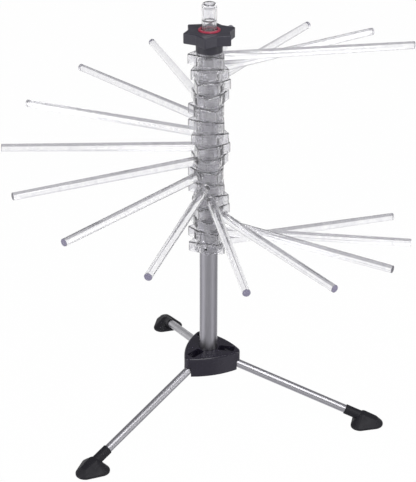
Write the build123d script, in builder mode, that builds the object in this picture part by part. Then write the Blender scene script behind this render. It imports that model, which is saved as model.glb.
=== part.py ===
from build123d import *
import os
from math import atan, cos, degrees, radians, sin

os.makedirs("parts", exist_ok=True)

# A free-standing rack for drying fresh pasta. Sixteen clear arms fan out round
# an upright column on a three-legged base, and a long clear wand is stored
# down the middle of the column. Sizes are in millimetres, Z is up, the column
# stands on the Z axis and the feet rest on the ground at Z = 0. Angles are
# measured from the X axis, anticlockwise seen from above.

# Play between pieces
running_fit = 0.05
loose_fit = 0.3
stack_gap = 0.14
overrun = 1.0

# Column tube
tube_radius = 9.5
tube_wall = 1.4
tube_bore = tube_radius - tube_wall

# Ring of an arm, from the tube outwards: sleeve, groove for the lugs of the
# ring above, neck wall, body wall
ring_bore = tube_radius + running_fit
sleeve_wall = 1.25
lug_thickness = 1.2
neck_wall = 0.9
body_wall = 1.5
groove_inner = ring_bore + sleeve_wall
groove_outer = groove_inner + lug_thickness + 2 * loose_fit
neck_radius = groove_outer + neck_wall
body_radius = neck_radius + body_wall

# Heights of a ring, from its arm's axis. A ring fills the pitch but for the
# play between it and the next one
ring_pitch = 13.54
neck_height = 1.5
body_height = ring_pitch - stack_gap - 2 * neck_height
axis_height_share = 0.57
body_bottom = -axis_height_share * body_height
body_top = body_bottom + body_height
ring_bottom = body_bottom - neck_height
ring_top = body_top + neck_height
body_edge_round = 1.4
web_thickness = 2.4

# Three ears stand out from each ring, one opposite the arm and one on either
# side of it, each a hollow lobe with a plate on top and open below
ear_angles = (60, 180, 300)
ear_tip_reach = 21.4
ear_tip_radius = 2.4
ear_plate = 1.4
ear_wall = 1.25

# Tapered arms
arm_reach = 207.7
arm_root_radius = 4.9
arm_tip_radius = 3.85
arm_edge_round = 0.4

# The fan: the arms climb the column in equal steps of height and angle
arm_count = 16
lowest_arm_height = 197.8
top_arm_angle = 9.9
fan_step = 24.5
top_arm_height = lowest_arm_height + (arm_count - 1) * ring_pitch

# Two lugs hang from each ring into the groove of the ring below. There they
# run between two ribs, one step of the fan apart, so that each ring drags the
# next one. These angles are those of the first rib of each pair
stop_angles = (120, 240)
stop_rib_angle = 6
lug_angle = 8
lug_play_angle = 1
lug_length = 5.0
solid_margin_angle = 10
arm_root_angle = 25
groove_depth = lug_length + loose_fit
groove_floor = ring_top - groove_depth
free_angle = fan_step + lug_angle + 2 * lug_play_angle
core_roof = groove_floor - web_thickness

# Grub screw of the lowest ring
screw_angle = 242.3
screw_drop = 1.1
screw_radius = 1.45
screw_length = 6.0
screw_socket_width = 1.5
screw_socket_depth = 1.6
screw_boss_radius = 2.5
screw_boss_proud = 0.5
screw_hole = screw_radius + running_fit

# Star knob
knob_neck_radius = 13.2
knob_neck_height = 10.3
knob_head_height = 10.7
knob_points = 6
knob_point_reach = 27.3
knob_valley_reach = 20.3
knob_point_angle = 21
knob_point_round = 1.4
knob_valley_round = 2.5
knob_edge_round = 1.0
knob_bottom = top_arm_height + ring_top + stack_gap
knob_head_bottom = knob_bottom + knob_neck_height
knob_top = knob_head_bottom + knob_head_height

# Red collar and washer that keep the knob on the tube
collar_radius = 11.0
collar_depth = 4.3
collar_rise = 1.3
collar_lip = 2.0
collar_round = 1.2
washer_thickness = 1.0
washer_inset = 0.3
seat_radius = collar_radius + loose_fit
collar_bottom = knob_top - collar_depth
collar_top = knob_top + collar_rise
tube_top = collar_top - collar_lip
washer_top = collar_bottom - stack_gap
knob_seat = washer_top - washer_thickness - stack_gap

# Legs and their pins
leg_count = 3
first_leg_angle = 106.8
leg_radius = 4.4
leg_wall = 1.0
leg_tail = 7.0
leg_bore = leg_radius - leg_wall
pin_radius = 1.5
pin_reach = 20.0
pin_rise = 9.8
end_cap = 1.2
end_plug_length = 17.0
tube_cross_hole = pin_radius + loose_fit

# Hub of the base, a triangle with bowed sides and a leg under each corner
hub_clearance = 50.0
hub_height = 22.0
hub_side_reach = 24.3
hub_side_radius = 86.0
hub_corner_reach = 34.5
hub_wall = 2.4
hub_roof = 2.5
hub_edge_round = 2.5
hub_top = hub_clearance + hub_height
socket_wall = 1.6
socket_chamfer = 0.5
socket_depth = 12.5
socket_web = 2.5
slot_half_width = 4.8
slot_rim = 6.0
slot_corner_round = 1.8
cheek = 2.4
socket_radius = tube_radius + socket_wall
tube_bottom = hub_top - socket_depth
web_bottom = tube_bottom - socket_web
slot_outer = hub_corner_reach - slot_rim
pin_height = hub_clearance + pin_rise
pin_half_length = slot_half_width + cheek - loose_fit

# Cover under the hub, with posts that hold the pins up
cover_inset = 1.6
cover_thickness = 1.8
cover_core_radius = 15.3
cover_bottom = hub_clearance + cover_inset
cover_top = cover_bottom + cover_thickness
post_width = 2 * pin_radius - loose_fit
post_thickness = cheek - loose_fit

# Screws of the cover, each in a boss of the hub
boss_radius = 3.0
boss_reach = 16.8
cover_screw_radius = 1.3
cover_screw_length = 10.0
cover_screw_head = 2.6
cover_screw_head_height = 1.4
cover_screw_cross_width = 0.7
cover_screw_cross_depth = 0.8

# Plug in the tube's bottom end, and the screw and washer that hold it down
plug_length = 15.5
plug_round = 0.5
column_screw_radius = 2.0
column_screw_length = 15.0
column_screw_head = 3.9
column_screw_head_height = 2.5
column_screw_socket = 3.0
column_screw_socket_depth = 1.6
column_washer_radius = 7.0
column_washer_thickness = 0.8
plug_top = tube_bottom + plug_length
column_washer_bottom = web_bottom - column_washer_thickness

# Rubber feet, each a sleeve on the leg that runs out into a pad. The pad has a
# flat sole, wide at the heel, and rises to a narrow crown along the sleeve's
# top. Both are placed from the foot's middle, a little beyond the tube's end
leg_end_reach = 168.0
leg_end_setback = 7.0
foot_axis_height = 6.6
sleeve_length = 24.0
sleeve_radius = 5.3
sole_heel_length = 16.1
sole_toe_length = 17.4
sole_half_width = 17.2
sole_heel_round = 9.5
sole_toe_round = 10.5
sole_thickness = 2.4
sole_edge_round = 0.8
crown_heel_length = 6.5
crown_toe_length = 11.5
crown_half_width = 4.4
crown_round = 4.1
pad_edge_round = 1.5
pad_top_round = 3.5
foot_reach = leg_end_reach + leg_end_setback
sleeve_start_reach = foot_reach - sleeve_length

# Pasta wand
wand_rise = 27.4
wand_play = 0.6
wand_head_radius = tube_bore - wand_play
wand_head_length = 42.0
wand_rod_radius = 4.5
wand_rod_round = 1.5
wand_shoulder = 2.4
wand_cap_thickness = 3.8
wand_cap_round = 3.0
wand_cap_plug = 2.0
wand_cavity_radius = 5.35
wand_cavity_depth = 34.0
wand_step_depth = 12.8
wand_step = 0.7
wand_step_length = 1.6
wand_top = knob_top + wand_rise
wand_cap_bottom = wand_top - wand_cap_thickness
wand_head_bottom = wand_top - wand_head_length

# The legs slope down from their pins to the axis of the feet's sleeves
leg_slope_run = foot_reach - pin_reach
leg_slope_drop = pin_height - foot_axis_height
leg_slope = atan(leg_slope_drop / leg_slope_run)


def radial_plane(angle, reach, height):
    """A level plane at this reach and height, with its X axis pointing outwards."""
    heading = radians(angle)
    return Plane(
        origin=(reach * cos(heading), reach * sin(heading), height),
        x_dir=(cos(heading), sin(heading), 0),
        z_dir=(0, 0, 1),
    )


def upright_plane(angle):
    """An upright plane through the column's axis, with X pointing outwards and Y up."""
    heading = radians(angle)
    return Plane(
        origin=(0, 0, 0),
        x_dir=(cos(heading), sin(heading), 0),
        z_dir=(sin(heading), -cos(heading), 0),
    )


def facing_plane(angle, reach, height):
    """A plane that faces outwards at this reach and height, with X level and Y up."""
    heading = radians(angle)
    return Plane(
        origin=(reach * cos(heading), reach * sin(heading), height),
        x_dir=(-sin(heading), cos(heading), 0),
        z_dir=(cos(heading), sin(heading), 0),
    )


def leg_plane(angle, distance):
    """A plane across a leg's axis, this far out from its pin, with X level."""
    heading = radians(angle)
    reach = pin_reach + distance * cos(leg_slope)
    return Plane(
        origin=(reach * cos(heading), reach * sin(heading), pin_height - distance * sin(leg_slope)),
        x_dir=(-sin(heading), cos(heading), 0),
        z_dir=(cos(heading) * cos(leg_slope), sin(heading) * cos(leg_slope), -sin(leg_slope)),
    )


def leg_distance(reach):
    """How far along the leg from its pin lies this reach from the column's axis."""
    return (reach - pin_reach) / cos(leg_slope)


def leg_height(reach):
    """The height of the leg's axis at this reach."""
    return pin_height - (reach - pin_reach) * leg_slope_drop / leg_slope_run


def polar_point(reach, angle):
    """A point of a level sketch."""
    return (reach * cos(radians(angle)), reach * sin(radians(angle)))


def sector(inner, outer, start, end):
    """A flat face between two radii and two angles round the column."""
    with BuildSketch() as face:
        with BuildLine():
            CenterArc((0, 0), inner, start, end - start)
            CenterArc((0, 0), outer, start, end - start)
            Line(polar_point(inner, start), polar_point(outer, start))
            Line(polar_point(inner, end), polar_point(outer, end))
        make_face()
    return face.sketch


def free_arc(stop):
    """The two angles between which a lug can run, beside the rib at this angle."""
    start = stop + stop_rib_angle / 2
    return start, start + free_angle


def lug_arc(stop):
    """The two angles of the lug that the ring above has in this free arc, fan closed."""
    end = free_arc(stop)[1] - lug_play_angle
    return end - lug_angle, end


def leg_angles():
    """The directions of the legs."""
    return [first_leg_angle + number * 360 / leg_count for number in range(leg_count)]


def side_angles():
    """The directions of the hub's sides, halfway between the legs."""
    return [angle + 180 / leg_count for angle in leg_angles()]


def ear_outline(angle, inset):
    """The ring's body with one ear, drawn in by an inset. The ear's sides are tangent to the body."""
    with BuildSketch() as face:
        Circle(body_radius - inset)
        with PolarLocations(ear_tip_reach - ear_tip_radius, 1, start_angle=angle):
            Circle(ear_tip_radius - inset)
        make_hull()
    return face.sketch


def build_ring_and_arm(has_lugs):
    """One arm's moulding, with the arm along X and its axis at height zero."""
    with BuildPart() as moulding:
        # Body and ears, then the pockets under the ears' plates
        with BuildSketch(Plane.XY.offset(body_bottom)):
            for angle in ear_angles:
                add(ear_outline(angle, 0))
        extrude(amount=body_height)
        fillet(moulding.faces().sort_by(Axis.Z)[-1].edges(), body_edge_round)
        with BuildSketch(Plane.XY.offset(body_bottom)):
            for angle in ear_angles:
                add(ear_outline(angle, ear_wall))
            Circle(body_radius, mode=Mode.SUBTRACT)
        extrude(amount=body_height - ear_plate, mode=Mode.SUBTRACT)
        with BuildSketch(Plane.XY.offset(ring_bottom)):
            Circle(neck_radius)
        extrude(amount=ring_top - ring_bottom)

        # Tapered arm, from inside the neck's wall to its flat tip
        with BuildSketch(Plane.YZ.offset(groove_outer + neck_wall / 2)):
            Circle(arm_root_radius)
        with BuildSketch(Plane.YZ.offset(arm_reach)):
            Circle(arm_tip_radius)
        loft()
        fillet(moulding.edges().sort_by(Axis.X)[-1], arm_edge_round)

        # Bore for the column, groove in the top, cores in the underside
        with BuildSketch(Plane.XY.offset(ring_bottom)):
            Circle(ring_bore)
        extrude(amount=ring_top - ring_bottom, mode=Mode.SUBTRACT)
        with BuildSketch(Plane.XY.offset(groove_floor)):
            Circle(groove_outer)
            Circle(groove_inner, mode=Mode.SUBTRACT)
        extrude(amount=groove_depth, mode=Mode.SUBTRACT)
        core_starts = [arm_root_angle] + [free_arc(stop)[1] + solid_margin_angle for stop in stop_angles]
        core_ends = [stop - solid_margin_angle for stop in stop_angles] + [360 - arm_root_angle]
        with BuildSketch(Plane.XY.offset(ring_bottom)):
            for start, end in zip(core_starts, core_ends):
                add(sector(groove_inner, groove_outer, start, end))
        extrude(amount=core_roof - ring_bottom, mode=Mode.SUBTRACT)

        # Ribs across the groove, at both ends of each free arc
        with BuildSketch(Plane.XY.offset(groove_floor)):
            for stop in stop_angles:
                start, end = free_arc(stop)
                add(sector(groove_inner, groove_outer, start - stop_rib_angle, start))
                add(sector(groove_inner, groove_outer, end, end + stop_rib_angle))
        extrude(amount=groove_depth)

        # Lugs under the ring, for the groove of the ring below
        if has_lugs:
            with BuildSketch(Plane.XY.offset(ring_bottom - lug_length)):
                for stop in stop_angles:
                    start, end = lug_arc(stop)
                    add(sector(groove_inner + loose_fit, groove_outer - loose_fit, start, end))
            extrude(amount=lug_length)
    return moulding.part


def place_arm(number, moulding):
    """A copy of the moulding at its step of the fan, numbered from the top."""
    height = top_arm_height - (number - 1) * ring_pitch
    angle = top_arm_angle + (number - 1) * fan_step
    with BuildPart() as arm:
        with Locations(Location((0, 0, height), (0, 0, angle))):
            add(moulding)
    arm.part.label = f"arm_{number:02d}"
    return arm.part


def build_fixed_arm():
    """The lowest arm: no lugs, and a boss with a hole for its grub screw."""
    boss_plane = facing_plane(screw_angle, groove_outer, -screw_drop)
    hole_plane = facing_plane(screw_angle, 0, -screw_drop)
    with BuildPart() as moulding:
        add(build_ring_and_arm(has_lugs=False))
        with BuildSketch(boss_plane):
            Circle(screw_boss_radius)
        extrude(amount=body_radius + screw_boss_proud - groove_outer)
        with BuildSketch(hole_plane):
            Circle(screw_hole)
        extrude(amount=body_radius + screw_boss_proud + overrun, mode=Mode.SUBTRACT)
    return place_arm(arm_count, moulding.part)


def build_arm_screw():
    """The grub screw through the lowest ring into the tube's wall."""
    angle = top_arm_angle + (arm_count - 1) * fan_step + screw_angle
    height = lowest_arm_height - screw_drop
    with BuildPart() as arm_screw:
        with BuildSketch(facing_plane(angle, tube_bore, height)):
            Circle(screw_radius)
        extrude(amount=screw_length)
        with BuildSketch(facing_plane(angle, tube_bore + screw_length, height)):
            RegularPolygon(screw_socket_width / 2, 6, major_radius=False)
        extrude(amount=-screw_socket_depth, mode=Mode.SUBTRACT)
    arm_screw.part.label = "arm_screw"
    return arm_screw.part


def build_column_tube():
    """The column's tube, with the hole that the grub screw enters."""
    angle = top_arm_angle + (arm_count - 1) * fan_step + screw_angle
    with BuildPart() as column_tube:
        with BuildSketch(Plane.XY.offset(tube_bottom)):
            Circle(tube_radius)
            Circle(tube_bore, mode=Mode.SUBTRACT)
        extrude(amount=tube_top - tube_bottom)
        with BuildSketch(facing_plane(angle, 0, lowest_arm_height - screw_drop)):
            Circle(screw_hole)
        extrude(amount=tube_radius + overrun, mode=Mode.SUBTRACT)
    column_tube.part.label = "column_tube"
    return column_tube.part


def build_tube_collar():
    """The red collar: pressed on the tube, with a lip over the tube's end."""
    with BuildPart() as tube_collar:
        with BuildSketch(Plane.XY.offset(collar_bottom)):
            Circle(collar_radius)
        extrude(amount=collar_top - collar_bottom)
        fillet(tube_collar.edges().group_by(Axis.Z)[-1], collar_round)
        with BuildSketch(Plane.XY.offset(collar_bottom)):
            Circle(tube_radius)
        extrude(amount=tube_top - collar_bottom, mode=Mode.SUBTRACT)
        with BuildSketch(Plane.XY.offset(tube_top)):
            Circle(tube_bore)
        extrude(amount=collar_lip, mode=Mode.SUBTRACT)
        lip_edges = tube_collar.edges().filter_by(GeomType.CIRCLE).group_by(Axis.Z)[-1]
        fillet(lip_edges.sort_by(SortBy.RADIUS)[0], collar_lip / 4)
    tube_collar.part.label = "tube_collar"
    return tube_collar.part


def build_knob_washer():
    """The washer between the collar and the knob."""
    with BuildPart() as knob_washer:
        with BuildSketch(Plane.XY.offset(washer_top - washer_thickness)):
            Circle(collar_radius - washer_inset)
            Circle(tube_radius + running_fit, mode=Mode.SUBTRACT)
        extrude(amount=washer_thickness)
    knob_washer.part.label = "knob_washer"
    return knob_washer.part


def star_outline():
    """The knob's six-pointed outline, with its points and valleys rounded."""
    half_step = 180 / knob_points
    middle_reach = (knob_point_reach + knob_valley_reach) / 2
    corners = []
    for number in range(knob_points):
        angle = knob_point_angle + 2 * number * half_step
        corners.append(polar_point(knob_point_reach, angle))
        corners.append(polar_point(knob_valley_reach, angle + half_step))
    with BuildSketch() as star:
        with BuildLine():
            Polyline(*corners, close=True)
        make_face()
        fillet(star.vertices().filter_by(lambda corner: corner.center().length > middle_reach), knob_point_round)
        fillet(star.vertices().filter_by(lambda corner: corner.center().length < middle_reach), knob_valley_round)
    return star.sketch


def build_knob():
    """The knob: star head, round neck, and two lugs that fill the top ring's free arcs."""
    with BuildPart() as knob:
        with BuildSketch(Plane.XY.offset(knob_head_bottom)):
            add(star_outline())
        extrude(amount=knob_head_height)
        ends = knob.faces().filter_by(Axis.Z)
        fillet(ends.edges(), knob_edge_round)
        with BuildSketch(Plane.XY.offset(knob_bottom)):
            Circle(knob_neck_radius)
        extrude(amount=knob_neck_height)
        with BuildSketch(Plane.XY.offset(knob_bottom - lug_length)):
            for stop in stop_angles:
                start, end = free_arc(stop)
                start += top_arm_angle + lug_play_angle
                end += top_arm_angle - lug_play_angle
                add(sector(groove_inner + loose_fit, groove_outer - loose_fit, start, end))
        extrude(amount=lug_length)
        with BuildSketch(Plane.XY.offset(knob_bottom)):
            Circle(ring_bore)
        extrude(amount=knob_top - knob_bottom, mode=Mode.SUBTRACT)
        with BuildSketch(Plane.XY.offset(knob_seat)):
            Circle(seat_radius)
        extrude(amount=knob_top - knob_seat, mode=Mode.SUBTRACT)
    knob.part.label = "knob"
    return knob.part


def build_wand_rod():
    """The wand's clear rod and hollow head, one moulding, standing on the column's plug."""
    with BuildPart() as wand_rod:
        with BuildSketch(Plane.XY.offset(plug_top)):
            Circle(wand_rod_radius)
        extrude(amount=wand_head_bottom - plug_top)
        fillet(wand_rod.edges().group_by(Axis.Z)[0], wand_rod_round)
        with BuildSketch(Plane.XY.offset(wand_head_bottom)):
            Circle(wand_head_radius)
        extrude(amount=wand_cap_bottom - wand_head_bottom)
        shoulder = wand_rod.edges().filter_by(GeomType.CIRCLE).filter_by_position(
            Axis.Z, wand_head_bottom - loose_fit, wand_head_bottom + loose_fit
        )
        chamfer(shoulder.sort_by(SortBy.RADIUS)[-1], wand_shoulder)

        # Cavity in the head, which steps in to a narrower bore
        step_top = wand_cap_bottom - wand_step_depth
        with BuildSketch(Plane.XY.offset(step_top)):
            Circle(wand_cavity_radius)
        extrude(amount=wand_step_depth, mode=Mode.SUBTRACT)
        with BuildSketch(Plane.XY.offset(step_top)):
            Circle(wand_cavity_radius)
        with BuildSketch(Plane.XY.offset(step_top - wand_step_length)):
            Circle(wand_cavity_radius - wand_step)
        loft(mode=Mode.SUBTRACT)
        with BuildSketch(Plane.XY.offset(wand_cap_bottom - wand_cavity_depth)):
            Circle(wand_cavity_radius - wand_step)
        extrude(amount=wand_cavity_depth - wand_step_depth, mode=Mode.SUBTRACT)
    wand_rod.part.label = "wand_rod"
    return wand_rod.part


def build_wand_cap():
    """The domed cap that closes the wand's head."""
    with BuildPart() as wand_cap:
        with BuildSketch(Plane.XY.offset(wand_cap_bottom)):
            Circle(wand_head_radius)
        extrude(amount=wand_cap_thickness)
        fillet(wand_cap.edges().group_by(Axis.Z)[-1], wand_cap_round)
        with BuildSketch(Plane.XY.offset(wand_cap_bottom - wand_cap_plug)):
            Circle(wand_cavity_radius - running_fit)
        extrude(amount=wand_cap_plug)
    wand_cap.part.label = "wand_cap"
    return wand_cap.part


def hub_outline(inset):
    """The hub's outline, drawn in by an inset: bowed sides joined by round corners."""
    side_centre = hub_side_radius - hub_side_reach
    corner_limit = hub_side_radius - hub_corner_reach
    half_turn = radians(180 / leg_count)
    corner_centre = (side_centre**2 - corner_limit**2) / (corner_limit - side_centre * cos(half_turn)) / 2
    corner_radius = hub_corner_reach - corner_centre - inset
    corner_across = corner_centre * sin(half_turn)
    corner_along = corner_centre * cos(half_turn) + side_centre
    half_side = degrees(atan(corner_across / corner_along))
    half_corner = 180 / leg_count - half_side
    with BuildSketch() as outline:
        with BuildLine():
            for angle in side_angles():
                middle = polar_point(-side_centre, angle)
                CenterArc(middle, hub_side_radius - inset, angle - half_side, 2 * half_side)
            for angle in leg_angles():
                middle = polar_point(corner_centre, angle)
                CenterArc(middle, corner_radius, angle - half_corner, 2 * half_corner)
        make_face()
    return outline.sketch


def slot_outline(angle, inner, outer, half_width, corner_round):
    """A rectangle along a leg's direction, seen from above."""
    with BuildSketch() as slot:
        with PolarLocations((inner + outer) / 2, 1, start_angle=angle):
            Rectangle(outer - inner, 2 * half_width)
        fillet(slot.vertices(), corner_round)
    return slot.sketch


def build_hub():
    """The hub: a hollow shell with the column's socket and a slot for each leg."""
    with BuildPart() as hub:
        with BuildSketch(Plane.XY.offset(hub_clearance)):
            add(hub_outline(0))
        extrude(amount=hub_height)
        fillet(hub.faces().sort_by(Axis.Z)[-1].edges(), hub_edge_round)

        # Recess for the cover, and hollows between the socket and the cheeks
        with BuildSketch(Plane.XY.offset(hub_clearance)):
            add(hub_outline(hub_wall))
        extrude(amount=cover_top - hub_clearance, mode=Mode.SUBTRACT)
        with BuildSketch(Plane.XY.offset(cover_top)):
            add(hub_outline(hub_wall))
            Circle(socket_radius, mode=Mode.SUBTRACT)
            for angle in leg_angles():
                with PolarLocations(hub_corner_reach / 2, 1, start_angle=angle):
                    Rectangle(hub_corner_reach, 2 * (slot_half_width + cheek), mode=Mode.SUBTRACT)
            for angle in side_angles():
                with PolarLocations(boss_reach, 1, start_angle=angle):
                    Circle(boss_radius, mode=Mode.SUBTRACT)
        extrude(amount=hub_top - hub_roof - cover_top, mode=Mode.SUBTRACT)

        # Column socket above the web, room for the screw's head below it
        with BuildSketch(Plane.XY.offset(tube_bottom)):
            Circle(tube_radius)
        extrude(amount=socket_depth, mode=Mode.SUBTRACT)
        with BuildSketch(Plane.XY.offset(web_bottom)):
            Circle(column_screw_radius + loose_fit)
        extrude(amount=socket_web, mode=Mode.SUBTRACT)
        with BuildSketch(Plane.XY.offset(cover_top)):
            Circle(tube_bore)
        extrude(amount=web_bottom - cover_top, mode=Mode.SUBTRACT)
        round_edges = hub.edges().filter_by(GeomType.CIRCLE)
        socket_edges = round_edges.filter_by(lambda edge: abs(edge.radius - tube_radius) < running_fit)
        chamfer(socket_edges.sort_by(Axis.Z)[-1], socket_chamfer)

        # Leg slots: open above out to the rim, and under the rim along the leg
        roof_gap = (leg_radius + loose_fit) / cos(leg_slope)
        channel_end = hub_corner_reach + overrun
        for angle in leg_angles():
            with BuildSketch(Plane.XY.offset(hub_clearance)):
                add(slot_outline(angle, socket_radius, slot_outer, slot_half_width, slot_corner_round))
            extrude(amount=hub_height, mode=Mode.SUBTRACT)
            with BuildSketch(upright_plane(angle)):
                with BuildLine():
                    Polyline(
                        (pin_reach, hub_clearance),
                        (pin_reach, leg_height(pin_reach) + roof_gap),
                        (channel_end, leg_height(channel_end) + roof_gap),
                        (channel_end, hub_clearance),
                        close=True,
                    )
                make_face()
            extrude(amount=slot_half_width, both=True, mode=Mode.SUBTRACT)

            # Channel in the cheeks, open below, in which the pin is laid
            with BuildSketch(upright_plane(angle)):
                with Locations((pin_reach, pin_height)):
                    Circle(pin_radius + running_fit)
                with Locations((pin_reach, (pin_height + cover_top) / 2)):
                    Rectangle(2 * (pin_radius + running_fit), pin_height - cover_top)
            extrude(amount=slot_half_width + cheek, both=True, mode=Mode.SUBTRACT)

        # Holes of the cover's screws
        with BuildSketch(Plane.XY.offset(cover_top)):
            for angle in side_angles():
                with PolarLocations(boss_reach, 1, start_angle=angle):
                    Circle(cover_screw_radius)
        extrude(amount=cover_screw_length, mode=Mode.SUBTRACT)
    hub.part.label = "hub"
    return hub.part


def build_base_cover():
    """The cover inset in the hub, slotted for the legs, with two posts under each pin."""
    post_offset = slot_half_width + cheek / 2
    with BuildPart() as base_cover:
        with BuildSketch(Plane.XY.offset(cover_bottom)):
            add(hub_outline(hub_wall + loose_fit))
            for angle in leg_angles():
                with PolarLocations((cover_core_radius + hub_corner_reach) / 2, 1, start_angle=angle):
                    Rectangle(hub_corner_reach - cover_core_radius, 2 * slot_half_width, mode=Mode.SUBTRACT)
            for angle in side_angles():
                with PolarLocations(boss_reach, 1, start_angle=angle):
                    Circle(cover_screw_radius, mode=Mode.SUBTRACT)
        extrude(amount=cover_thickness)
        with BuildSketch(Plane.XY.offset(cover_top)):
            for angle in leg_angles():
                for side in (-1, 1):
                    with Locations(radial_plane(angle, 0, 0)):
                        with Locations((pin_reach, side * post_offset)):
                            Rectangle(post_width, post_thickness)
        extrude(amount=pin_height - pin_radius - cover_top)
    base_cover.part.label = "base_cover"
    return base_cover.part


def build_cover_screws():
    """Three pan-head screws with a cross recess, one group."""
    with BuildPart() as cover_screws:
        for angle in side_angles():
            with BuildSketch(radial_plane(angle, boss_reach, cover_bottom - cover_screw_head_height)):
                Circle(cover_screw_head)
            extrude(amount=cover_screw_head_height)
            with BuildSketch(radial_plane(angle, boss_reach, cover_bottom)):
                Circle(cover_screw_radius)
            extrude(amount=cover_screw_length)
            with BuildSketch(radial_plane(angle, boss_reach, cover_bottom - cover_screw_head_height)):
                Rectangle(cover_screw_head, cover_screw_cross_width)
                Rectangle(cover_screw_cross_width, cover_screw_head)
            extrude(amount=cover_screw_cross_depth, mode=Mode.SUBTRACT)
    cover_screws.part.label = "cover_screws"
    return cover_screws.part


def build_column_plug():
    """The plug pressed into the tube's bottom end, on which the wand stands."""
    with BuildPart() as column_plug:
        with BuildSketch(Plane.XY.offset(tube_bottom)):
            Circle(tube_bore)
        extrude(amount=plug_length)
        fillet(column_plug.edges().group_by(Axis.Z)[-1], plug_round)
        with BuildSketch(Plane.XY.offset(tube_bottom)):
            Circle(column_screw_radius)
        extrude(amount=column_screw_length - socket_web, mode=Mode.SUBTRACT)
    column_plug.part.label = "column_plug"
    return column_plug.part


def build_column_screw():
    """The socket screw that pulls the plug and the tube down on the hub's web."""
    with BuildPart() as column_screw:
        with BuildSketch(Plane.XY.offset(column_washer_bottom - column_screw_head_height)):
            Circle(column_screw_head)
        extrude(amount=column_screw_head_height)
        with BuildSketch(Plane.XY.offset(column_washer_bottom)):
            Circle(column_screw_radius)
        extrude(amount=column_screw_length)
        with BuildSketch(Plane.XY.offset(column_washer_bottom - column_screw_head_height)):
            RegularPolygon(column_screw_socket / 2, 6, major_radius=False)
        extrude(amount=column_screw_socket_depth, mode=Mode.SUBTRACT)
    column_screw.part.label = "column_screw"
    return column_screw.part


def build_column_washer():
    """The washer under the column screw's head."""
    with BuildPart() as column_washer:
        with BuildSketch(Plane.XY.offset(column_washer_bottom)):
            Circle(column_washer_radius)
            Circle(column_screw_radius, mode=Mode.SUBTRACT)
        extrude(amount=column_washer_thickness)
    column_washer.part.label = "column_washer"
    return column_washer.part


def build_leg_pin(number, angle):
    """The pin on which a leg folds, laid across its slot."""
    with BuildPart() as leg_pin:
        with BuildSketch(upright_plane(angle)):
            with Locations((pin_reach, pin_height)):
                Circle(pin_radius)
        extrude(amount=pin_half_length, both=True)
    leg_pin.part.label = f"leg_pin_{number}"
    return leg_pin.part


def build_leg_tube(number, angle):
    """A leg's tube, from its plastic end in the hub to the middle of its foot."""
    tail = end_cap - leg_tail
    with BuildPart() as leg_tube:
        with BuildSketch(leg_plane(angle, tail)):
            Circle(leg_radius)
            Circle(leg_bore, mode=Mode.SUBTRACT)
        extrude(amount=leg_distance(leg_end_reach) - tail)
        with BuildSketch(upright_plane(angle)):
            with Locations((pin_reach, pin_height)):
                Circle(tube_cross_hole)
        extrude(amount=leg_radius + overrun, both=True, mode=Mode.SUBTRACT)
    leg_tube.part.label = f"leg_tube_{number}"
    return leg_tube.part


def build_leg_end(number, angle):
    """The plastic end in a leg's tube: a plug with a rounded cap and the pin's bore."""
    with BuildPart() as leg_end:
        with BuildSketch(leg_plane(angle, -leg_tail)):
            Circle(leg_radius)
        extrude(amount=end_cap)
        fillet(leg_end.edges().sort_by(lambda edge: edge.center().Z)[-1], end_cap / 2)
        with BuildSketch(leg_plane(angle, end_cap - leg_tail)):
            Circle(leg_bore)
        extrude(amount=end_plug_length)
        with BuildSketch(upright_plane(angle)):
            with Locations((pin_reach, pin_height)):
                Circle(pin_radius + running_fit)
        extrude(amount=leg_radius, both=True, mode=Mode.SUBTRACT)
    leg_end.part.label = f"leg_end_{number}"
    return leg_end.part


def pad_outline(heel, toe, half_width, heel_round, toe_round):
    """An outline along X from heel to toe, measured from the foot's middle, widest at the heel."""
    with BuildSketch() as outline:
        for side in (-1, 1):
            with Locations((heel + heel_round, side * (half_width - heel_round))):
                Circle(heel_round)
        with Locations((toe - toe_round, 0)):
            Circle(toe_round)
        make_hull()
    return outline.sketch


def build_foot():
    """A rubber foot under a leg along X: the sleeve's top line runs straight on over the pad."""
    sleeve_start = leg_distance(sleeve_start_reach)
    top_height = leg_height(foot_reach) + sleeve_radius / cos(leg_slope)
    crown_plane = Plane(
        origin=(foot_reach, 0, top_height),
        x_dir=(cos(leg_slope), 0, -sin(leg_slope)),
        z_dir=(sin(leg_slope), 0, cos(leg_slope)),
    )
    sole = pad_outline(
        -sole_heel_length,
        sole_toe_length,
        sole_half_width,
        sole_heel_round,
        sole_toe_round,
    )
    crown = pad_outline(
        -crown_heel_length / cos(leg_slope),
        crown_toe_length / cos(leg_slope),
        crown_half_width,
        crown_round,
        crown_round,
    )
    with BuildPart() as foot:
        # Sole with an upright edge, and sides that close in on the crown
        with BuildSketch(radial_plane(0, foot_reach, 0)):
            add(sole)
        extrude(amount=sole_thickness)
        with BuildSketch(radial_plane(0, foot_reach, sole_thickness)):
            add(sole)
        with BuildSketch(crown_plane):
            add(crown)
        loft()
        fillet(foot.faces().filter_by(GeomType.PLANE).sort_by(Axis.Z)[-1].edges(), pad_top_round)
        level_edges = foot.edges().filter_by_position(
            Axis.Z, sole_thickness - running_fit, sole_thickness + running_fit
        )
        fillet(level_edges, pad_edge_round)
        fillet(foot.faces().sort_by(Axis.Z)[0].edges(), sole_edge_round)

        # Sleeve on the leg
        with BuildSketch(leg_plane(0, sleeve_start)):
            Circle(sleeve_radius)
        extrude(amount=leg_distance(foot_reach) - sleeve_start)
        with BuildSketch(leg_plane(0, sleeve_start)):
            Circle(leg_radius)
        extrude(amount=leg_distance(leg_end_reach) - sleeve_start, mode=Mode.SUBTRACT)
    return foot.part


def place_foot(number, angle, shape):
    """A copy of the foot at its leg."""
    with BuildPart() as foot:
        with Locations(Location((0, 0, 0), (0, 0, angle))):
            add(shape)
    foot.part.label = f"foot_{number}"
    return foot.part


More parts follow.
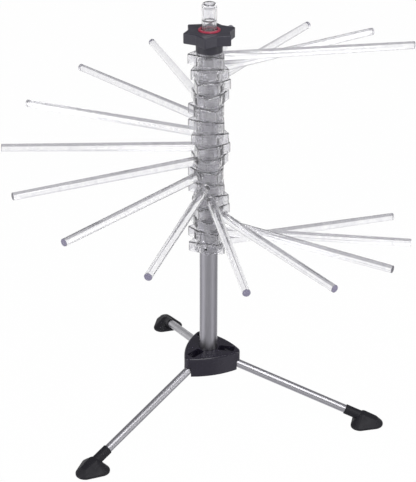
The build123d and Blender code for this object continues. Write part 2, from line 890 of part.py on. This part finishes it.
def write(piece):
    """Write one finished piece under its own name."""
    export_step(piece, f"parts/{piece.label}.step")


write(build_column_tube())
write(build_tube_collar())
write(build_knob_washer())
write(build_knob())
clear_arm = build_ring_and_arm(has_lugs=True)
for arm_number in range(1, arm_count):
    write(place_arm(arm_number, clear_arm))
write(build_fixed_arm())
write(build_arm_screw())
write(build_wand_rod())
write(build_wand_cap())
write(build_hub())
write(build_base_cover())
write(build_cover_screws())
write(build_column_plug())
write(build_column_screw())
write(build_column_washer())
foot_shape = build_foot()
for leg_number, leg_angle in enumerate(leg_angles(), start=1):
    write(build_leg_pin(leg_number, leg_angle))
    write(build_leg_tube(leg_number, leg_angle))
    write(build_leg_end(leg_number, leg_angle))
    write(place_foot(leg_number, leg_angle, foot_shape))
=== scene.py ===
from math import pi, radians

import bmesh
import bpy
from mathutils import Matrix, Vector

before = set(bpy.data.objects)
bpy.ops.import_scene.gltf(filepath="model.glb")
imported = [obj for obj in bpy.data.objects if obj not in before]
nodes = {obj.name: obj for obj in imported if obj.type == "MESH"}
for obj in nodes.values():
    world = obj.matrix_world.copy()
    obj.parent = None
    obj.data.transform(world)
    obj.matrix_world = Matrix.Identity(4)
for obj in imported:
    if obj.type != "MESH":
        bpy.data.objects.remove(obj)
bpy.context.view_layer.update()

# Camera. A long lens, a little above the rack and looking down on it, with
# the column upright in the middle of the picture.
camera_distance = 1.3219
camera_height = 0.8759
look_down = 27.107
turn_right = -0.033
lean = 0.144
sensor = 36.0
focal_pixels = 1430.9
picture_height = 482

lens = bpy.data.cameras.new("camera")
lens.sensor_fit = "VERTICAL"
lens.sensor_height = sensor
lens.lens = focal_pixels * sensor / picture_height
camera = bpy.data.objects.new("camera", lens)
aim = Matrix.Rotation(radians(-turn_right), 4, "Z") @ Matrix.Rotation(radians(90 - look_down), 4, "X")
camera.matrix_world = (
    Matrix.Translation((0, -camera_distance, camera_height)) @ aim @ Matrix.Rotation(radians(lean), 4, "Z")
)
bpy.context.scene.collection.objects.link(camera)
bpy.context.scene.camera = camera
bpy.context.scene.view_settings.view_transform = "Standard"


# Studio. A white table top that runs on into a white background, a wide soft
# lamp above and in front, and two tall ones at the sides. Metal and clear
# plastic see that background behind them, and a darker room round the rest.
def chain(tree, operation, first, second):
    """A maths node on two values or sockets."""
    node = tree.nodes.new("ShaderNodeMath")
    node.operation = operation
    for socket, value in zip(node.inputs, (first, second)):
        if isinstance(value, float):
            socket.default_value = value
        else:
            tree.links.new(value, socket)
    return node.outputs[0]


def ramp(tree, value, low, high, low_level, high_level):
    """Goes smoothly from one level to another while a value goes from low to high."""
    node = tree.nodes.new("ShaderNodeMapRange")
    node.interpolation_type = "SMOOTHSTEP"
    node.inputs["From Min"].default_value = low
    node.inputs["From Max"].default_value = high
    node.inputs["To Min"].default_value = low_level
    node.inputs["To Max"].default_value = high_level
    tree.links.new(value, node.inputs["Value"])
    return node.outputs[0]


def blend(tree, share, first, second, kind="MIX"):
    """Mixes two colours, given as colours or sockets, by a share."""
    node = tree.nodes.new("ShaderNodeMix")
    node.data_type = "RGBA"
    node.blend_type = kind
    for socket, value in zip((node.inputs[0], node.inputs[6], node.inputs[7]), (share, first, second)):
        if isinstance(value, (float, tuple)):
            socket.default_value = value
        else:
            tree.links.new(value, socket)
    return node.outputs[2]


def room_grey(level):
    """A grey of the room, very slightly violet. At level one it is the white background."""
    if level >= 1:
        return white
    return (*[min(1, level * part) for part in room_tint], 1)


white = (1, 1, 1, 1)
room_tint = (0.985, 0.975, 1.03)
room_light = (0.42, 0.42, 0.42, 1)
room_below = 0.45
below_full = -0.59
below_start = -0.53
room_above = 0.72
above_start = 0.30
above_full = 0.60
side_white = 0.85
side_start = -0.44
side_full = -0.20
shine_above = 0.27
shine_above_start = -0.10
shine_above_full = 0.12
shine_side_start = -0.40
shine_side_full = -0.24
room_bands = [
    (-180, 0.44), (-138, 0.52), (-105, 0.95), (-78, 0.58), (-50, 0.44), (-34, 1.0),
    (34, 1.0), (50, 0.36), (88, 0.42), (130, 0.80), (152, 0.46), (180, 0.44),
]
table_size = 6.0
table_white = 0.86
table_own_light = 0.985
table_drop = 0.0002
lamp_aim = Vector((0, 0, 0.25))

world = bpy.data.worlds.new("studio")
world.use_nodes = True
bpy.context.scene.world = world
tree = world.node_tree
direction = tree.nodes.new("ShaderNodeTexCoord")
parts = tree.nodes.new("ShaderNodeSeparateXYZ")
tree.links.new(direction.outputs["Generated"], parts.inputs[0])
heading = chain(tree, "ARCTAN2", parts.outputs["X"], parts.outputs["Y"])
turn = chain(tree, "ADD", chain(tree, "DIVIDE", heading, 2 * pi), 0.5)
bands = tree.nodes.new("ShaderNodeValToRGB")
bands.color_ramp.interpolation = "EASE"
while len(bands.color_ramp.elements) < len(room_bands):
    bands.color_ramp.elements.new(0.5)
for stop, (angle, level) in zip(bands.color_ramp.elements, room_bands):
    stop.position = (angle + 180) / 360
    stop.color = room_grey(level)
tree.links.new(turn, bands.inputs["Fac"])
side = ramp(tree, parts.outputs["Z"], side_start, side_full, 0.0, side_white)
around = blend(tree, side, bands.outputs["Color"], white)
below = ramp(tree, parts.outputs["Z"], below_full, below_start, 0.0, 1.0)
above = ramp(tree, parts.outputs["Z"], above_start, above_full, 0.0, 1.0)
upright = blend(tree, above, blend(tree, below, room_grey(room_below), white), room_grey(room_above))
dome = blend(tree, 1.0, around, upright, "DARKEN")
path = tree.nodes.new("ShaderNodeLightPath")
shine_side = ramp(tree, parts.outputs["Z"], shine_side_start, shine_side_full, 0.0, 1.0)
shine_top = ramp(tree, parts.outputs["Z"], shine_above_start, shine_above_full, 0.0, 1.0)
shine_around = blend(tree, shine_side, bands.outputs["Color"], white)
shine = blend(tree, 1.0, shine_around, blend(tree, shine_top, white, room_grey(shine_above)), "DARKEN")
mirrored = blend(tree, path.outputs["Is Glossy Ray"], room_light, shine)
surroundings = blend(tree, path.outputs["Is Transmission Ray"], mirrored, dome)
picture = blend(tree, path.outputs["Is Camera Ray"], surroundings, white)
tree.links.new(picture, tree.nodes["Background"].inputs["Color"])

table_mesh = bmesh.new()
bmesh.ops.create_grid(table_mesh, x_segments=1, y_segments=1, size=table_size / 2)
bmesh.ops.translate(table_mesh, vec=(0, 0, -table_drop), verts=table_mesh.verts)
table_data = bpy.data.meshes.new("table")
table_mesh.to_mesh(table_data)
table_mesh.free()
table = bpy.data.objects.new("table", table_data)
bpy.context.scene.collection.objects.link(table)
table.visible_glossy = False
table.visible_transmission = False
table_paint = bpy.data.materials.new("table_white")
table_paint.use_nodes = True
tree = table_paint.node_tree
tree.nodes.clear()
output = tree.nodes.new("ShaderNodeOutputMaterial")
matt = tree.nodes.new("ShaderNodeBsdfDiffuse")
matt.inputs["Color"].default_value = (table_white, table_white, table_white, 1)
glow = tree.nodes.new("ShaderNodeEmission")
path = tree.nodes.new("ShaderNodeLightPath")
share = chain(tree, "MULTIPLY", path.outputs["Is Camera Ray"], table_own_light)
mix = tree.nodes.new("ShaderNodeMixShader")
tree.links.new(share, mix.inputs[0])
tree.links.new(matt.outputs[0], mix.inputs[1])
tree.links.new(glow.outputs[0], mix.inputs[2])
tree.links.new(mix.outputs[0], output.inputs["Surface"])
table_data.materials.append(table_paint)

lamps = [
    ("lamp_over", (0.3, -0.95, 1.45), 0.9, 0.9, 13.0),
    ("lamp_left", (-1.3, -0.7, 0.6), 0.35, 1.3, 6.0),
    ("lamp_right", (1.4, -0.3, 0.6), 0.3, 1.3, 4.0),
]
for name, place, width, height, power in lamps:
    lamp = bpy.data.lights.new(name, "AREA")
    lamp.shape = "RECTANGLE"
    lamp.size = width
    lamp.size_y = height
    lamp.energy = power
    holder = bpy.data.objects.new(name, lamp)
    holder.location = place
    towards = lamp_aim - Vector(place)
    holder.rotation_euler = towards.to_track_quat("-Z", "Y").to_euler()
    bpy.context.scene.collection.objects.link(holder)


# Column tube. Drawn aluminium, satin anodised, with a faint grain along its
# length. It stands in the hub and carries the rings, the knob and the wand.
def finish(name, colour, metal, gloss, patch_size, grain_size, grain_depth, drawn=1, turned=(0, 0, 0)):
    """A surface of one colour with a fine grain, whose gloss and tone vary a little in patches."""
    material = bpy.data.materials.new(name)
    material.use_nodes = True
    tree = material.node_tree
    shader = tree.nodes["Principled BSDF"]
    shader.inputs["Metallic"].default_value = metal
    place = tree.nodes.new("ShaderNodeTexCoord")
    along = tree.nodes.new("ShaderNodeMapping")
    along.vector_type = "TEXTURE"
    along.inputs["Rotation"].default_value = turned
    along.inputs["Scale"].default_value = (1, 1, drawn)
    tree.links.new(place.outputs["Object"], along.inputs["Vector"])
    patches = tree.nodes.new("ShaderNodeTexNoise")
    patches.inputs["Scale"].default_value = 1 / patch_size
    patches.inputs["Detail"].default_value = patch_detail
    tree.links.new(place.outputs["Object"], patches.inputs["Vector"])
    grain = tree.nodes.new("ShaderNodeTexNoise")
    grain.inputs["Scale"].default_value = 1 / grain_size
    grain.inputs["Detail"].default_value = grain_detail
    tree.links.new(along.outputs["Vector"], grain.inputs["Vector"])
    rough = tree.nodes.new("ShaderNodeMapRange")
    rough.inputs["From Min"].default_value = noise_low
    rough.inputs["From Max"].default_value = noise_high
    rough.inputs["To Min"].default_value = gloss[0]
    rough.inputs["To Max"].default_value = gloss[1]
    tree.links.new(patches.outputs["Fac"], rough.inputs["Value"])
    tree.links.new(rough.outputs[0], shader.inputs["Roughness"])
    tone = tree.nodes.new("ShaderNodeValToRGB")
    tone.color_ramp.elements[0].position = noise_low
    tone.color_ramp.elements[0].color = (*[part * darkest for part in colour], 1)
    tone.color_ramp.elements[1].position = noise_high
    tone.color_ramp.elements[1].color = (*[part * lightest for part in colour], 1)
    tree.links.new(grain.outputs["Fac"], tone.inputs["Fac"])
    tree.links.new(tone.outputs["Color"], shader.inputs["Base Color"])
    bump = tree.nodes.new("ShaderNodeBump")
    bump.inputs["Distance"].default_value = grain_depth
    bump.inputs["Strength"].default_value = grain_strength
    tree.links.new(grain.outputs["Fac"], bump.inputs["Height"])
    tree.links.new(bump.outputs["Normal"], shader.inputs["Normal"])
    return material


def give(material, names):
    """Puts a material on CAD nodes."""
    for name in names:
        for slot in nodes[name].material_slots:
            slot.material = material


patch_detail = 5
grain_detail = 3
noise_low = 0.3
noise_high = 0.7
darkest = 0.9
lightest = 1.08
grain_strength = 0.6
drawn_length = 60
column_colour = (0.455, 0.45, 0.475)
column_aluminium = finish(
    "column_aluminium", column_colour, 1.0, (0.28, 0.36), 0.012, 0.0006, 0.00001, drawn=drawn_length
)
give(column_aluminium, ["column_tube"])

# Leg tubes. The same drawn aluminium in a smaller tube, a little duller. The
# grain runs along each leg, out from the hub and down to its foot.
leg_numbers = (1, 2, 3)
leg_colour = (0.50, 0.495, 0.52)
for number in leg_numbers:
    leg = nodes[f"leg_tube_{number}"]
    corners = [Vector(corner) for corner in leg.bound_box]
    low = Vector([min(corner[axis] for corner in corners) for axis in range(3)])
    high = Vector([max(corner[axis] for corner in corners) for axis in range(3)])
    middle = (low + high) / 2
    span = high - low
    outwards = Vector((span.x if middle.x > 0 else -span.x, span.y if middle.y > 0 else -span.y, -span.z))
    leg_aluminium = finish(
        f"leg_aluminium_{number}", leg_colour, 1.0, (0.36, 0.42), 0.010, 0.0006, 0.000002,
        drawn=drawn_length, turned=outwards.to_track_quat("Z", "Y").to_euler(),
    )
    give(leg_aluminium, [leg.name])

# Clear arms and wand. Injection-moulded clear polycarbonate, polished in the
# mould, with faint flow marks. Each ring and its arm are one moulding. The
# flat ends of the arms get a painted violet shade, strongest where an end faces
# the viewer, standing in for the darkness seen along the rod.
clear_names = [name for name in nodes if name.startswith("arm_") and name != "arm_screw"]
clear_names += ["wand_rod", "wand_cap"]
# Painted shade on the arms' flat end faces: a dark violet mixed into the clear plastic, strongest where an
# end faces the viewer and weaker where it is seen slanted.
end_reach = 0.20765
end_band = 0.00005
painted_end_shade_colour = (0.27, 0.25, 0.36, 1)
end_roughness = 0.35
painted_end_shade_strength = 0.85
end_faced = 0.35
end_slanted = 0.7
end_slanted_share = 0.15
clear_share = 0.93
clear_bending = 1.58
clear_plastic = finish("clear_plastic", (0.982, 0.977, 1.0), 0.0, (0.03, 0.06), 0.02, 0.006, 0.000002)
tree = clear_plastic.node_tree
shader = tree.nodes["Principled BSDF"]
shader.inputs["Transmission Weight"].default_value = clear_share
shader.inputs["IOR"].default_value = clear_bending
place = tree.nodes.new("ShaderNodeTexCoord")
flat = tree.nodes.new("ShaderNodeVectorMath")
flat.operation = "MULTIPLY"
flat.inputs[1].default_value = (1, 1, 0)
tree.links.new(place.outputs["Object"], flat.inputs[0])
reach = tree.nodes.new("ShaderNodeVectorMath")
reach.operation = "LENGTH"
tree.links.new(flat.outputs[0], reach.inputs[0])
# Painted shade: a mask of the arms' end faces, faded where an end is seen slanted, that mixes in the dark
# violet.
painted_shade_at_end = ramp(tree, reach.outputs["Value"], end_reach - end_band, end_reach, 0.0, painted_end_shade_strength)
slant = tree.nodes.new("ShaderNodeLayerWeight")
painted_shade_facing = ramp(tree, slant.outputs["Facing"], end_faced, end_slanted, 1.0, end_slanted_share)
painted_end_shade = tree.nodes.new("ShaderNodeBsdfPrincipled")
painted_end_shade.inputs["Base Color"].default_value = painted_end_shade_colour
painted_end_shade.inputs["Roughness"].default_value = end_roughness
mix = tree.nodes.new("ShaderNodeMixShader")
tree.links.new(chain(tree, "MULTIPLY", painted_shade_at_end, painted_shade_facing), mix.inputs[0])
tree.links.new(shader.outputs[0], mix.inputs[1])
tree.links.new(painted_end_shade.outputs[0], mix.inputs[2])
tree.links.new(mix.outputs[0], tree.nodes["Material Output"].inputs["Surface"])
give(clear_plastic, clear_names)

# Star knob and the washer over it. Dark grey moulded plastic with a fine matt
# texture from the mould. The knob turns on the column and drags the rings.
knob_plastic = finish("knob_plastic", (0.035, 0.033, 0.047), 0.0, (0.38, 0.5), 0.01, 0.0005, 0.00002)
give(knob_plastic, ["knob", "knob_washer"])

# Red collar. Smooth moulded plastic, pressed on the column's top end, where
# it keeps the knob from coming off.
collar_plastic = finish("collar_plastic", (0.38, 0.026, 0.062), 0.0, (0.25, 0.35), 0.01, 0.0008, 0.00001)
give(collar_plastic, ["tube_collar"])

# Hub with its cover, the column's plug and the legs' plastic ends. Black
# moulded plastic, polished on the outside of the hub.
hub_plastic = finish("hub_plastic", (0.017, 0.0145, 0.026), 0.0, (0.20, 0.32), 0.01, 0.0006, 0.00001)
give(hub_plastic, ["hub", "base_cover", "column_plug"] + [f"leg_end_{number}" for number in leg_numbers])

# Feet. Soft black rubber, a little dull, each moulded in one piece with the
# sleeve that is pushed over the leg's end.
foot_shine = 0.35
foot_rubber = finish("foot_rubber", (0.010, 0.0095, 0.014), 0.0, (0.5, 0.65), 0.008, 0.0005, 0.00003)
foot_rubber.node_tree.nodes["Principled BSDF"].inputs["Specular IOR Level"].default_value = foot_shine
give(foot_rubber, [f"foot_{number}" for number in leg_numbers])

# Grub screw. Blackened steel, sunk in the lowest ring, where it fixes that
# ring to the column.
black_steel = finish("black_steel", (0.02, 0.02, 0.022), 0.5, (0.35, 0.45), 0.004, 0.0004, 0.00001)
give(black_steel, ["arm_screw"])

# Screws, washer and leg pins of the base. Bright zinc-plated steel, all
# hidden in the hub.
screw_steel = finish("screw_steel", (0.55, 0.55, 0.56), 1.0, (0.2, 0.35), 0.004, 0.0004, 0.00001)
give(
    screw_steel,
    ["cover_screws", "column_screw", "column_washer"] + [f"leg_pin_{number}" for number in leg_numbers],
)
